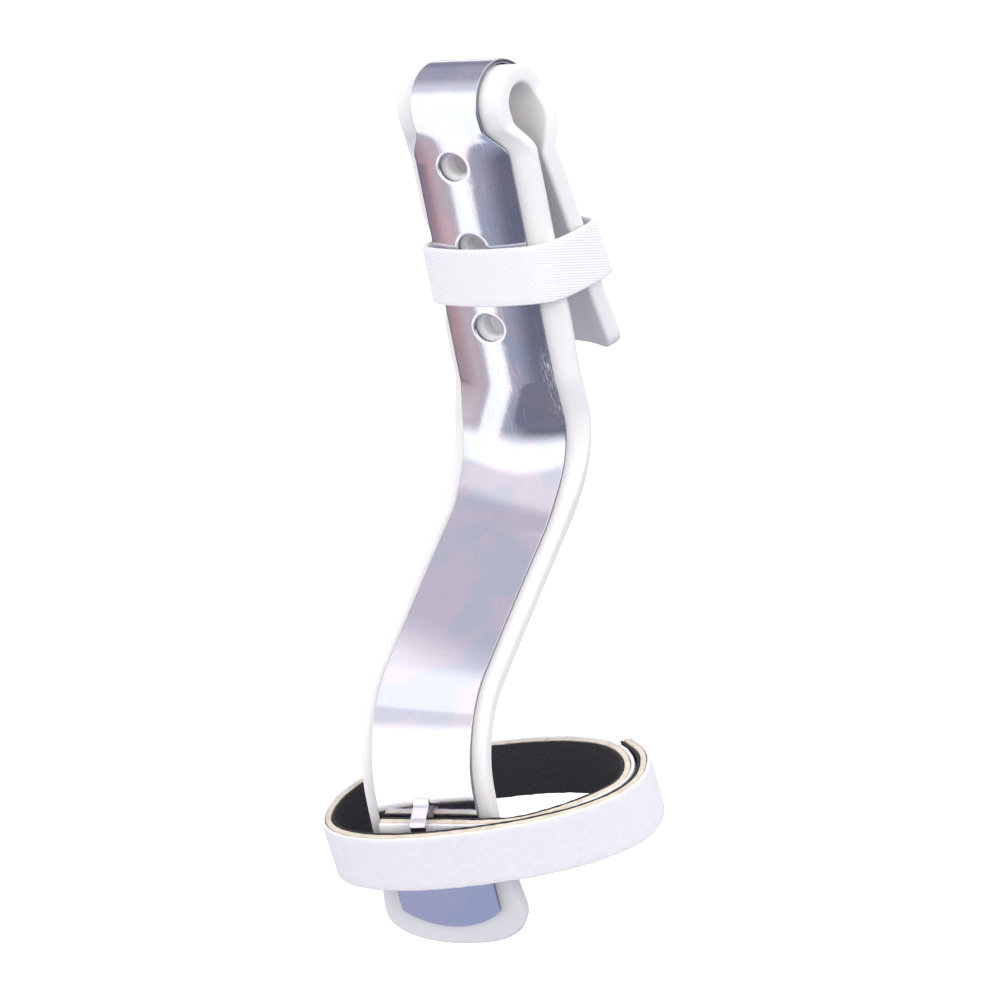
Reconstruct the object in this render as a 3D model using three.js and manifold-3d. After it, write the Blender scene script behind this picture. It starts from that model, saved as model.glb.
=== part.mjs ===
// Finger splint: a bent aluminium strip lined with foam, a finger strap and a wrist strap.
// Millimetres, +Z up along the finger, -Y out of the palm side, origin in the middle of the
// finger hollow at the height of the middle vent hole.
import * as THREE from 'three';
import { mergeVertices } from 'three/addons/utils/BufferGeometryUtils.js';
import Module from 'manifold-3d';

const wasm = await Module();
wasm.setup();

// Aluminium strip: gauge and the widths of its blank
const gauge = 1;
const fingerWidth = 25;
const tipWidth = 17.4;
const palmWidth = 21.5;
const troughDepth = 2.4;
const wristArcRise = 4.2;
const rearCornerRadius = 3;

// Foam lining: thickness, glue line and how far it stands out past the metal
const foamThickness = 3.8;
const glueLine = 0.3;
const fingerMargin = 4.9;
const tipMargin = 5.1;
const palmMargin = 2.9;
const wristMargin = 5.2;
const endMargin = 6.2;
const foamEdge = 0.8;
const foamEndRounding = 10;
const foamEndSquareness = 2.3;

// Lengths along the strip, from the middle vent hole down to the wrist
const fingerBase = 30;
const twistLength = 8;
const knuckleLength = 22.6;
const palmLength = 39.4;
const heelLength = 28.8;
const wristLength = 38.2;

// Lengths along the strip, from the middle vent hole over the fingertip to the rear end
const fingerTop = 18.4;
const shoulderLength = 3;
const neckLength = 5.5;
const loopRadius = 9.4;
const loopAngle = 199.2;
const rearUpperLength = 25.3;
const rearLowerLength = 24;

// Vent holes
const ventWidth = 7.4;
const ventHeight = 5.8;
const ventPitch = 17.4;
const ventSides = 24;

// Finger strap
const fingerStrapWidth = 12.3;
const fingerStrapThickness = 1.3;
const fingerStrapDrop = 6.1;
const fingerStrapGrip = 2.5;
const fitClearance = 0.3;

// Wrist strap: a laminate of pile, backing and hooks
const pileThickness = 0.75;
const backingThickness = 1.1;
const hookThickness = 0.55;
const bondLine = 0.2;
const wristStrapWidth = 12.2;
const wristStrapHeight = 23.2;
const wristLoopWidth = 67.6;
const wristFrontDepth = 16;
const wristBackDepth = 23.5;
const wristLeftClearance = 6.85;
const strapLeave = 10;
const wristLoopTilt = -3.4;
const wristLoopYaw = 6.1;
const wristLoopSpin = 4.9;
const wristLoopSquareness = 2.25;
const wrapClearance = 0.5;
const wristLoopEase = 0.3;

// Tongue lanced out of the strip over the inner end of the wrist strap
const tongueWidth = 3.4;
const tongueLength = 13;
const tongueSlot = 0.5;
const tongueSetback = 2.9;
const tongueOffset = -0.8;

const laminate = pileThickness + backingThickness + hookThickness + 2 * bondLine;

// Small helpers
const radians = THREE.MathUtils.degToRad;
const mix = THREE.MathUtils.lerp;
const fade = (from, to, at) => THREE.MathUtils.smoothstep(at, from, to);
const along = (point, ...steps) => {
  const moved = point.clone();
  for (const [direction, distance] of steps) moved.addScaledVector(direction, distance);
  return moved;
};

// The strip's path. Each row is one stretch of the blank: bend turns it towards the palm side,
// twist turns its right edge outwards, lean turns it in its own plane, all in degrees.
const downStretches = [
  { length: fingerBase, bend: 0, twist: 0, lean: 0, cuts: 6 },
  { length: twistLength, bend: 0, twist: -7, lean: -0.5, cuts: 2 },
  { length: knuckleLength, bend: 61.8, twist: -12, lean: -5.3, cuts: 12 },
  { length: palmLength, bend: 0.3, twist: 2.2, lean: 1.6, cuts: 5 },
  { length: heelLength, bend: -69.9, twist: -1.8, lean: 5.1, cuts: 11 },
  { length: wristLength, bend: -11.1, twist: 0, lean: 0.2, cuts: 7 },
];
const loopLength = loopRadius * radians(loopAngle);
const upStretches = [
  { length: fingerTop, bend: 0, twist: 0, lean: 0, cuts: 4 },
  { length: shoulderLength, bend: 0, twist: 0, lean: 0, cuts: 3 },
  { length: neckLength, bend: 9.6, twist: 0, lean: 0, cuts: 5 },
  { length: loopLength, bend: -loopAngle, twist: 0, lean: 0, cuts: 20 },
  { length: neckLength, bend: 24.2, twist: 0, lean: 0, cuts: 6 },
  { length: rearUpperLength, bend: -5, twist: 0, lean: 0, cuts: 5 },
  { length: rearLowerLength, bend: 6, twist: 0, lean: 0, cuts: 5 },
];
const lengthOf = (stretches) => stretches.reduce((sum, row) => sum + row.length, 0);
const downLength = lengthOf(downStretches);
const upLength = lengthOf(upStretches);

// A frame is a point on the palm-side face, the run of the strip, its width and its outward normal.
function advance(frame, row, distance) {
  const share = distance / row.length;
  const turn = new THREE.Vector3()
    .addScaledVector(frame.run.clone().cross(frame.out), radians(row.bend) * share)
    .addScaledVector(frame.run.clone().cross(frame.width), radians(row.lean) * share)
    .addScaledVector(frame.width.clone().cross(frame.out), radians(row.twist) * share);
  const angle = turn.length();
  if (angle < 1e-9) return { ...frame, point: along(frame.point, [frame.run, distance]) };
  const axis = turn.divideScalar(angle);
  const turned = (vector) => vector.clone().applyAxisAngle(axis, angle);
  const straight = axis.clone().multiplyScalar(frame.run.dot(axis));
  const across = frame.run.clone().sub(straight);
  const sideways = axis.clone().cross(across);
  const point = along(
    frame.point,
    [straight, distance],
    [across, (distance * Math.sin(angle)) / angle],
    [sideways, (distance * (1 - Math.cos(angle))) / angle],
  );
  return { point, run: turned(frame.run), width: turned(frame.width), out: turned(frame.out) };
}

function follow(start, stretches, distance) {
  let frame = start;
  let left = distance;
  for (const [index, row] of stretches.entries()) {
    const last = index === stretches.length - 1;
    const step = last ? left : Math.min(left, row.length);
    if (step > 0) frame = advance(frame, row, step);
    left -= step;
  }
  return frame;
}

// The frame at a distance from the middle vent hole, positive towards the fingertip.
function frameFrom(origin, at) {
  const start = {
    point: origin.clone(),
    run: new THREE.Vector3(0, 0, Math.sign(at) || 1),
    width: new THREE.Vector3(1, 0, 0),
    out: new THREE.Vector3(0, -1, 0),
  };
  const frame = follow(start, at < 0 ? downStretches : upStretches, Math.abs(at));
  if (at < 0) frame.run = frame.run.clone().negate();
  return frame;
}

// Where the rear leg's outer face passes a height, found by halving
function rearCrossing(origin, height) {
  let low = fingerTop + shoulderLength + neckLength + loopLength;
  let high = upLength;
  for (let i = 0; i < 30; i += 1) {
    const middle = (low + high) / 2;
    if (frameFrom(origin, middle).point.z > height) low = middle;
    else high = middle;
  }
  return frameFrom(origin, low).point;
}
const legSpan = rearCrossing(new THREE.Vector3(), 0).y;
const seatOrigin = new THREE.Vector3(0, -legSpan / 2, 0);
const frameAt = (at) => frameFrom(seatOrigin, at);

// Places along the strip where its section changes
const knuckleTop = -(fingerBase + twistLength);
const knuckleFoot = knuckleTop - knuckleLength;
const heelFoot = knuckleFoot - palmLength - heelLength;
const shoulder = fingerTop + shoulderLength;
const rearShoulder = shoulder + 2 * neckLength + loopLength;
const stripFoot = -(downLength - endMargin);
const stripTail = upLength - endMargin;

// The section: the blank's width, the depth of its trough, the foam's margin and how far the
// finger strap presses the foam's left edge in. Each share says how far the section has gone
// over from the palm's or the tip's to the finger's.
function sectionAt(at) {
  const reach = Math.abs(frameAt(at).point.z + fingerStrapDrop) / fingerStrapWidth;
  const grip = 1 - fade(0.6, 1, reach);
  const bell = fade(knuckleTop - 0.77 * knuckleLength, knuckleTop, at);
  const spread = fade(knuckleFoot, knuckleTop, at);
  const wrist = 1 - fade(-downLength, heelFoot - 0.25 * wristLength, at);
  const neck = fade(shoulder - 0.55 * neckLength, shoulder + 0.75 * neckLength, at);
  const narrow = fade(shoulder - 0.4 * neckLength, shoulder + 0.7 * neckLength, at);
  const wide = fade(rearShoulder - 1.9 * neckLength, rearShoulder + 0.1 * neckLength, at);
  const trough = fade(rearShoulder - 0.75 * neckLength, rearShoulder + 0.55 * neckLength, at);
  const tip = narrow * (1 - wide);
  const flat = Math.max(1 - bell, neck * (1 - trough));
  const low = mix(palmMargin, wristMargin, wrist);
  return {
    width: mix(mix(palmWidth, fingerWidth, spread), tipWidth, tip),
    depth: troughDepth * (1 - flat),
    margin: mix(mix(low, fingerMargin, spread), tipMargin, tip),
    pressed: fingerStrapGrip * grip,
  };
}

// A point of the section, across = 0 on the centreline and 1 at the metal's right edge,
// sunk below the palm-side face along the section's own normal.
function sectionPoint(frame, section, across, sunk) {
  const half = section.width / 2;
  const slope = (2 * section.depth * across) / half;
  const normal = along(frame.out, [frame.width, slope]).normalize();
  return along(
    frame.point,
    [frame.width, across * half],
    [frame.out, -section.depth * across * across],
    [normal, -sunk],
  );
}

// Solids from rings of points
function loft(rings, closed = false) {
  const count = rings[0].length;
  const positions = rings.flat().flatMap((point) => point.toArray());
  const index = [];
  const steps = closed ? rings.length : rings.length - 1;
  for (let ring = 0; ring < steps; ring += 1) {
    const next = (ring + 1) % rings.length;
    for (let i = 0; i < count; i += 1) {
      const j = (i + 1) % count;
      const [a, b] = [ring * count + i, ring * count + j];
      const [c, d] = [next * count + i, next * count + j];
      index.push(a, b, d, a, d, c);
    }
  }
  if (!closed) {
    const last = (rings.length - 1) * count;
    for (let i = 0; i < count / 2 - 1; i += 1) {
      const far = count - 1 - i;
      index.push(i, far, i + 1, i + 1, far, far - 1);
      index.push(last + i, last + i + 1, last + far, last + i + 1, last + far - 1, last + far);
    }
  }
  const geometry = new THREE.BufferGeometry();
  geometry.setAttribute('position', new THREE.Float32BufferAttribute(positions, 3));
  geometry.setIndex(index);
  return geometry;
}

function toSolid(geometry) {
  const bare = geometry.clone();
  bare.deleteAttribute('normal');
  bare.deleteAttribute('uv');
  const merged = mergeVertices(bare, 1e-4);
  return new wasm.Manifold(new wasm.Mesh({
    numProp: 3,
    vertProperties: merged.attributes.position.array,
    triVerts: Uint32Array.from(merged.index.array),
  }));
}

function toGeometry(solid) {
  const mesh = solid.getMesh();
  const geometry = new THREE.BufferGeometry();
  geometry.setAttribute('position', new THREE.BufferAttribute(mesh.vertProperties, 3));
  geometry.setIndex(new THREE.BufferAttribute(mesh.triVerts, 1));
  return geometry;
}

// Stations along the whole strip, between two ends
function stationsBetween(foot, tail) {
  const places = [foot, tail];
  for (const [stretches, sign] of [[downStretches, -1], [upStretches, 1]]) {
    let start = 0;
    for (const row of stretches) {
      for (let cut = 0; cut < row.cuts; cut += 1) {
        places.push(sign * (start + (row.length * cut) / row.cuts));
      }
      start += row.length;
    }
  }
  const kept = places.filter((at) => at >= foot && at <= tail);
  return [...new Set(kept)].sort((a, b) => a - b);
}

// An end whose width runs out in a rounded outline: narrowed stations at shares of its length
const endShares = [0, 0.25, 0.45, 0.62, 0.76, 0.87, 0.95, 0.99];

const sectionCuts = 6;
const acrossShares = Array.from({ length: sectionCuts + 1 }, (_, i) => (2 * i) / sectionCuts - 1);

// Aluminium strip
function stripHalfShare(at) {
  const fromFoot = at - stripFoot;
  if (fromFoot < wristArcRise) {
    const half = palmWidth / 2;
    const radius = (half * half + wristArcRise * wristArcRise) / (2 * wristArcRise);
    return Math.sqrt(2 * radius * fromFoot - fromFoot * fromFoot) / half;
  }
  const fromTail = Math.max(0, rearCornerRadius - (stripTail - at));
  const cut = rearCornerRadius - Math.sqrt(rearCornerRadius ** 2 - fromTail ** 2);
  return 1 - cut / (fingerWidth / 2);
}

function stripRing(at, share) {
  const frame = frameAt(at);
  const section = sectionAt(at);
  const outer = acrossShares.map((across) => sectionPoint(frame, section, across * share, 0));
  const inner = acrossShares.map((across) => sectionPoint(frame, section, across * share, gauge));
  return [...outer, ...inner.reverse()];
}

// Vent holes. Rows: distance from the middle hole, offset to the right of the centreline.
const vents = [
  { at: -ventPitch, aside: -0.2 },
  { at: 0, aside: -0.3 },
  { at: ventPitch, aside: -1.3 },
];

function ventCutter({ at, aside }) {
  const frame = frameAt(at);
  const length = 4 * (gauge + foamThickness);
  const cutter = new THREE.CylinderGeometry(0.5, 0.5, length, ventSides);
  cutter.scale(ventWidth, 1, ventHeight);
  const turn = new THREE.Quaternion().setFromUnitVectors(new THREE.Vector3(0, 1, 0), frame.out);
  cutter.applyQuaternion(turn);
  cutter.translate(...along(frame.point, [frame.width, aside]).toArray());
  return toSolid(cutter);
}

// The tongue's side outline runs from its root above the strap, over the strap's inner layer,
// and stops free. Rows: distance down from the root, height above the face.
const tongueRise = fitClearance + laminate + wrapClearance;
const wristStrapAt = stripFoot + wristStrapHeight;
const innerRise = -0.09 * wristStrapWidth;
const tongueRoot = wristStrapAt + innerRise + wristStrapWidth / 2 + tongueSetback;
const tongueOutline = [
  { down: -1.2, under: -gauge, over: 0 },
  { down: 0, under: -gauge, over: 0.2 * gauge },
  { down: 1.2, under: 0.15 * tongueRise, over: 0.55 * tongueRise + gauge },
  { down: 2.6, under: tongueRise, over: tongueRise + gauge },
  { down: 0.5 * tongueLength, under: tongueRise, over: tongueRise + gauge },
  { down: tongueLength, under: tongueRise, over: tongueRise + gauge },
];

// A four-cornered cut across the tongue or its window
function tongueRing(down, half, over, under) {
  const frame = frameAt(tongueRoot - down);
  const corner = (aside, out) => along(
    frame.point,
    [frame.width, tongueOffset + aside],
    [frame.out, out],
  );
  return [corner(-half, over), corner(half, over), corner(half, under), corner(-half, under)];
}

function tongueWindow() {
  const half = tongueWidth / 2 + tongueSlot;
  const rings = [tongueLength + 1, 0.5 * tongueLength, 0.3].map((down) => (
    tongueRing(down, half, gauge, -3 * gauge)
  ));
  return toSolid(loft(rings));
}

function makeStrip() {
  const footPlaces = endShares.map((share) => stripFoot + wristArcRise * (1 - share));
  const tailPlaces = endShares.map((share) => stripTail - rearCornerRadius * (1 - share));
  const body = stationsBetween(stripFoot + wristArcRise, stripTail - rearCornerRadius);
  const places = [...footPlaces.reverse(), ...body.slice(1, -1), ...tailPlaces];
  const rings = places.map((at) => stripRing(at, stripHalfShare(at)));
  let solid = toSolid(loft(rings)).subtract(tongueWindow());
  const tongueRings = [...tongueOutline].reverse().map(({ down, under, over }) => (
    tongueRing(down, tongueWidth / 2, over, under)
  ));
  solid = solid.add(toSolid(loft(tongueRings)));
  for (const vent of vents) solid = solid.subtract(ventCutter(vent));
  return toGeometry(solid);
}

// Foam lining
function foamRing(at, share) {
  const frame = frameAt(at);
  const section = sectionAt(at);
  const right = (1 + (2 * section.margin) / section.width) * share;
  const left = right - ((2 * section.pressed) / section.width) * share;
  const edge = Math.min(foamEdge, 0.4 * right * section.width) / (section.width / 2);
  const top = gauge + glueLine;
  const bottom = top + foamThickness;
  const row = (sunk, side) => {
    const face = acrossShares.map((across) => across * ((across < 0 ? left : right) - edge));
    return [
      sectionPoint(frame, section, -left, side),
      ...face.map((across) => sectionPoint(frame, section, across, sunk)),
      sectionPoint(frame, section, right, side),
    ];
  };
  return [...row(top, top + foamEdge), ...row(bottom, bottom - foamEdge).reverse()];
}

function makeFoam() {
  const foot = -downLength;
  const tailRounding = rearCornerRadius + 1;
  const rounding = (share, power) => (1 - share ** power) ** (1 / power);
  const footPlaces = endShares.map((share) => ({
    at: foot + foamEndRounding * (1 - share),
    share: rounding(share, foamEndSquareness),
  }));
  const halfTail = fingerWidth / 2 + fingerMargin;
  const tailPlaces = endShares.map((share) => ({
    at: upLength - tailRounding * (1 - share),
    share: 1 - (tailRounding / halfTail) * (1 - rounding(share, 2)),
  }));
  const body = stationsBetween(foot + foamEndRounding, upLength - tailRounding);
  const places = [
    ...footPlaces.reverse(),
    ...body.slice(1, -1).map((at) => ({ at, share: 1 })),
    ...tailPlaces,
  ];
  let solid = toSolid(loft(places.map(({ at, share }) => foamRing(at, share))));
  for (const vent of vents) solid = solid.subtract(ventCutter(vent));
  return toGeometry(solid);
}

// Finger strap: a quarter of its girth, as shares of the foam's half width and of the drop
// from the crown to the foam's edge. The front and the rear half mirror each other.
const girthQuarter = [
  { across: 0, drop: 0 },
  { across: 0.3, drop: 0.04 },
  { across: 0.56, drop: 0.17 },
  { across: 0.8, drop: 0.36 },
  { across: 0.95, drop: 0.64 },
  { across: 1, drop: 1.12 },
];
const girthSteps = 64;

function girthAt(height) {
  const section = sectionAt(height);
  const front = seatOrigin.y - fitClearance;
  const rear = rearCrossing(seatOrigin, height).y + fitClearance;
  const side = (sign, margin) => {
    const reach = 1 + (2 * margin) / section.width;
    const edge = sectionPoint(frameAt(height), section, reach, gauge + glueLine);
    const halfWidth = edge.x + fitClearance;
    const drop = edge.y - seatOrigin.y;
    return [
      ...girthQuarter.map((row) => [sign * row.across * halfWidth, front + row.drop * drop]),
      ...[...girthQuarter].reverse().map((row) => (
        [sign * row.across * halfWidth, rear - row.drop * drop]
      )),
    ];
  };
  const right = side(1, section.margin);
  const left = side(-1, section.margin - section.pressed).slice(1, -1).reverse();
  const points = [...right, ...left].map(([x, y]) => new THREE.Vector3(x, y, height));
  return new THREE.CatmullRomCurve3(points, true, 'centripetal').getSpacedPoints(girthSteps);
}

function makeFingerStrap() {
  const middle = -fingerStrapDrop;
  const lower = girthAt(middle - fingerStrapWidth / 2);
  const upper = girthAt(middle + fingerStrapWidth / 2);
  const outwards = (points, i) => {
    const before = points[(i + girthSteps - 1) % girthSteps];
    const tangent = points[(i + 1) % girthSteps].clone().sub(before);
    return new THREE.Vector3(tangent.y, -tangent.x, 0).normalize();
  };
  const rings = lower.slice(0, girthSteps).map((low, i) => {
    const high = upper[i];
    return [
      high.clone(),
      along(high, [outwards(upper, i), fingerStrapThickness]),
      along(low, [outwards(lower, i), fingerStrapThickness]),
      low.clone(),
    ];
  });
  return loft(rings, true);
}

// Wrist strap: it starts on the metal's left edge, passes under the tongue, goes once round the
// wrist to the right, crosses the front over its own start and ends on the back of the wrist.
const layerPitch = laminate + wrapClearance;
const wristFrame = frameAt(wristStrapAt);
const wristLeftReach = palmWidth / 2 + wristMargin + wristLeftClearance;
const standoff = tongueRise + gauge + wrapClearance + wristLoopEase + laminate / 2;

function loopAxes() {
  const turns = [
    [wristFrame.width, wristLoopTilt],
    [wristFrame.out, wristLoopYaw],
  ];
  let [axis, side, front] = [wristFrame.run, wristFrame.width, wristFrame.out];
  for (const [about, angle] of turns) {
    const turned = [axis, side, front].map((v) => v.clone().applyAxisAngle(about, radians(angle)));
    [axis, side, front] = turned;
  }
  side = side.clone().applyAxisAngle(axis, radians(wristLoopSpin));
  front = front.clone().applyAxisAngle(axis, radians(wristLoopSpin));
  return { axis, side, front };
}
const loopFrame = loopAxes();
const loopCentre = along(
  wristFrame.point,
  [wristFrame.out, standoff],
  [wristFrame.width, wristLoopWidth / 2 - wristLeftReach],
  [loopFrame.front, -wristFrontDepth],
);

// The turn at which the strap, past the strip's right edge, joins its round
const leaveReach = palmWidth / 2 + strapLeave + wristLeftReach - wristLoopWidth / 2;
const leaveShare = leaveReach / (wristLoopWidth / 2 - layerPitch);
const leaveTurn = THREE.MathUtils.radToDeg(Math.asin(leaveShare ** (wristLoopSquareness / 2)));
const turnAt = (share) => mix(leaveTurn, 90, share);

// Rows: turn in degrees from the front centre, going right, how many layers in from the outer
// wrap, and how far up the axis as a share of the strap's width.
const wristRoute = [
  { turn: turnAt(0), layer: 1, rise: -0.07 },
  { turn: turnAt(0.24), layer: 1, rise: -0.04 },
  { turn: turnAt(0.57), layer: 1, rise: 0 },
  { turn: turnAt(0.86), layer: 1, rise: 0 },
  { turn: 100, layer: 1, rise: 0 },
  { turn: 125, layer: 1, rise: 0 },
  { turn: 150, layer: 1, rise: 0 },
  { turn: 180, layer: 0.8, rise: 0 },
  { turn: 210, layer: 0.4, rise: 0 },
  { turn: 235, layer: 0.1, rise: 0 },
  { turn: 258, layer: 0, rise: 0 },
  { turn: 280, layer: 0, rise: 0 },
  { turn: 300, layer: 0, rise: 0 },
  { turn: 320, layer: 0, rise: 0 },
  { turn: 340, layer: 0, rise: 0 },
  { turn: 360, layer: 0, rise: 0 },
  { turn: 380, layer: 0, rise: 0 },
  { turn: 400, layer: 0, rise: 0 },
  { turn: 422, layer: 0, rise: 0 },
  { turn: 444, layer: 0, rise: 0 },
  { turn: 466, layer: 0, rise: 0 },
  { turn: 488, layer: 0, rise: 0 },
];
const startShares = [-0.92, -0.45, 0.1, 0.6, 1.15];
const strapCuts = 4;

const squared = (share) => Math.sign(share) * Math.abs(share) ** (2 / wristLoopSquareness);

function strapRoute() {
  const route = startShares.map((share) => ({
    point: along(
      wristFrame.point,
      [wristFrame.width, (share * palmWidth) / 2],
      [wristFrame.out, fitClearance + laminate / 2],
      [wristFrame.run, innerRise],
    ),
    up: wristFrame.run,
  }));
  for (const { turn, layer, rise } of wristRoute) {
    const angle = radians(turn);
    const depth = Math.cos(angle) > 0 ? wristFrontDepth : wristBackDepth;
    const point = along(
      loopCentre,
      [loopFrame.side, (wristLoopWidth / 2 - layer * layerPitch) * squared(Math.sin(angle))],
      [loopFrame.front, (depth - layer * layerPitch) * squared(Math.cos(angle))],
      [loopFrame.axis, rise * wristStrapWidth],
    );
    route.push({ point, up: loopFrame.axis });
  }
  return route;
}

function strapStations() {
  const route = strapRoute();
  const curve = new THREE.CatmullRomCurve3(route.map((row) => row.point), false, 'centripetal');
  const stations = [];
  const steps = strapCuts * (route.length - 1);
  for (let step = 0; step <= steps; step += 1) {
    const share = step / steps;
    const place = step / strapCuts;
    const before = Math.min(Math.floor(place), route.length - 2);
    const up = route[before].up.clone().lerp(route[before + 1].up, place - before);
    const run = curve.getTangent(share);
    const across = along(up, [run, -up.dot(run)]).normalize();
    stations.push({ point: curve.getPoint(share), across, out: run.clone().cross(across) });
  }
  return stations;
}
const wristStations = strapStations();

// One layer of the laminate, between two distances out from its middle
function strapLayer(from, to) {
  const half = wristStrapWidth / 2;
  const rings = wristStations.map(({ point, across, out }) => [
    along(point, [across, half], [out, to]),
    along(point, [across, -half], [out, to]),
    along(point, [across, -half], [out, from]),
    along(point, [across, half], [out, from]),
  ]);
  return loft(rings);
}
const pileFrom = laminate / 2 - pileThickness;
const backingFrom = pileFrom - bondLine - backingThickness;

// Assembly
const splint = new THREE.Group();
function addPiece(name, geometry, color, roughness, metalness) {
  const material = new THREE.MeshStandardMaterial({ color, roughness, metalness });
  const mesh = new THREE.Mesh(geometry, material);
  mesh.name = name;
  splint.add(mesh);
}
addPiece('aluminium_strip', makeStrip(), 0xb8bcc8, 0.32, 1);
addPiece('foam_pad', makeFoam(), 0xf2f0ee, 0.85, 0);
addPiece('finger_strap', makeFingerStrap(), 0xf0eef0, 0.9, 0);
addPiece('wrist_strap_pile', strapLayer(pileFrom, laminate / 2), 0xf1edf3, 0.95, 0);
addPiece('wrist_strap_backing', strapLayer(backingFrom, pileFrom - bondLine), 0xd9c9ac, 0.9, 0);
addPiece('wrist_strap_hooks', strapLayer(-laminate / 2, -laminate / 2 + hookThickness), 0x1c1b1e, 0.8, 0);

export default splint;
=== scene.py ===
import bpy, bmesh, math
from mathutils import Matrix, Quaternion, Vector, noise
from functools import lru_cache


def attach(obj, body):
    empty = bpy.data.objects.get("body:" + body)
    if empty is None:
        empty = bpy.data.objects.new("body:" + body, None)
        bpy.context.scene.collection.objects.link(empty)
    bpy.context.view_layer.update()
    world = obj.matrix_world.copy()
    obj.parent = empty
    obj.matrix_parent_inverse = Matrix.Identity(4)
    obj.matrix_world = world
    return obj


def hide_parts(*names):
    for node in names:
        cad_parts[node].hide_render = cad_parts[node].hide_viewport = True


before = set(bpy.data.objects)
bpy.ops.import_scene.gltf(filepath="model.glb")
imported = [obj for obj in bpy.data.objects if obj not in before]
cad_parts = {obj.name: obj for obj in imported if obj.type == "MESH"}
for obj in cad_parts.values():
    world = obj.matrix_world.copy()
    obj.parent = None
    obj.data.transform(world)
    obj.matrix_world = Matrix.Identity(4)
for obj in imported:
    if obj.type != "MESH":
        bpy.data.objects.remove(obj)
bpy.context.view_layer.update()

gauge = 0.001
finger_width, tip_width, palm_width = 0.025, 0.0174, 0.0215
trough_depth = 0.0024
# How far the foam reaches past the metal at its sides, and at both ends
finger_margin, tip_margin, palm_margin, wrist_margin = 0.0049, 0.0051, 0.0029, 0.0052
end_margin = 0.0062
# How far the middle vent hole lies in front of the origin
face_in_front = 0.011519
# The finger strap's middle below the origin, its width, and how far it presses the foam's left in
strap_drop, strap_width, strap_grip = 0.0061, 0.0123, 0.0025

# Lengths down the blank from the middle vent hole, then up from it and round to the rear end
finger_length, twist_length, knuckle_length = 0.0300, 0.0080, 0.0226
palm_length, heel_length, wrist_length = 0.0394, 0.0288, 0.0382
vented_top, plain_top, neck = 0.0184, 0.0030, 0.0055
rear_upper, rear_lower = 0.0253, 0.0240
tip_radius, tip_turn = 0.0094, 199.2
tip_length = tip_radius * math.radians(tip_turn)

# Stretches of the blank: length, bend towards the palm side, twist and lean in degrees
down_stretches = [
    (finger_length, 0, 0, 0), (twist_length, 0, -7, -0.5), (knuckle_length, 61.8, -12, -5.3),
    (palm_length, 0.3, 2.2, 1.6), (heel_length, -69.9, -1.8, 5.1), (wrist_length, -11.1, 0, 0.2),
]
up_stretches = [
    (vented_top, 0, 0, 0), (plain_top, 0, 0, 0), (neck, 9.6, 0, 0), (tip_length, -tip_turn, 0, 0),
    (neck, 24.2, 0, 0), (rear_upper, -5, 0, 0), (rear_lower, 6, 0, 0),
]
down_length = sum(row[0] for row in down_stretches)
up_length = sum(row[0] for row in up_stretches)
knuckle_top = -(finger_length + twist_length)
knuckle_foot = knuckle_top - knuckle_length
heel_foot = knuckle_foot - palm_length - heel_length
shoulder = vented_top + plain_top
rear_shoulder = shoulder + 2 * neck + tip_length
# Where the metal ends along the blank, how high its round foot is, and its corners
strip_foot = -(down_length - end_margin)
strip_tail = up_length - end_margin
wrist_arc, corner_radius = 0.0042, 0.003


def bent_on(point, run, width, out, stretch, distance):
    """Carries a place and its three directions on along one evenly bent stretch."""
    length, bend, twist, lean = stretch
    share = distance / length
    turn = run.cross(out) * math.radians(bend) * share
    turn += run.cross(width) * math.radians(lean) * share
    turn += width.cross(out) * math.radians(twist) * share
    angle = turn.length
    if angle < 1e-9:
        return point + run * distance, run, width, out
    axis = turn / angle
    straight = axis * run.dot(axis)
    across = run - straight
    point = point + straight * distance + across * (distance * math.sin(angle) / angle)
    point += axis.cross(across) * (distance * (1 - math.cos(angle)) / angle)
    bending = Quaternion(axis, angle)
    return point, bending @ run, bending @ width, bending @ out


@lru_cache(None)
def strip_frame(at):
    """The strip's middle at a place along the blank: point, and directions up, across and out."""
    run = Vector((0, 0, -1 if at < 0 else 1))
    place = (Vector((0, -face_in_front, 0)), run, Vector((1, 0, 0)), Vector((0, -1, 0)))
    stretches = down_stretches if at < 0 else up_stretches
    left = abs(at)
    for number, stretch in enumerate(stretches):
        step = left if number == len(stretches) - 1 else min(left, stretch[0])
        if step > 0:
            place = bent_on(*place, stretch, step)
        left -= step
    point, run, width, out = place
    return point, (-run if at < 0 else run), width, out


def fade(low, high, at):
    share = min(1, max(0, (at - low) / (high - low)))
    return share * share * (3 - 2 * share)


def mixed(first, second, share):
    return first + (second - first) * share


@lru_cache(None)
def strip_section(at):
    """Width, trough depth, foam margin and how far the foam is pressed in, at a place along it."""
    reach = abs(strip_frame(at)[0].z + strap_drop) / strap_width
    grip = 1 - fade(0.6, 1, reach)
    bell = fade(knuckle_top - 0.77 * knuckle_length, knuckle_top, at)
    spread = fade(knuckle_foot, knuckle_top, at)
    wrist = 1 - fade(-down_length, heel_foot - 0.25 * wrist_length, at)
    flat_neck = fade(shoulder - 0.55 * neck, shoulder + 0.75 * neck, at)
    narrow = fade(shoulder - 0.4 * neck, shoulder + 0.7 * neck, at)
    wide = fade(rear_shoulder - 1.9 * neck, rear_shoulder + 0.1 * neck, at)
    trough = fade(rear_shoulder - 0.75 * neck, rear_shoulder + 0.55 * neck, at)
    tip = narrow * (1 - wide)
    flat = max(1 - bell, flat_neck * (1 - trough))
    margin = mixed(palm_margin, wrist_margin, wrist)
    margin = mixed(mixed(margin, finger_margin, spread), tip_margin, tip)
    width = mixed(mixed(palm_width, finger_width, spread), tip_width, tip)
    return width, trough_depth * (1 - flat), margin, strap_grip * grip


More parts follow.
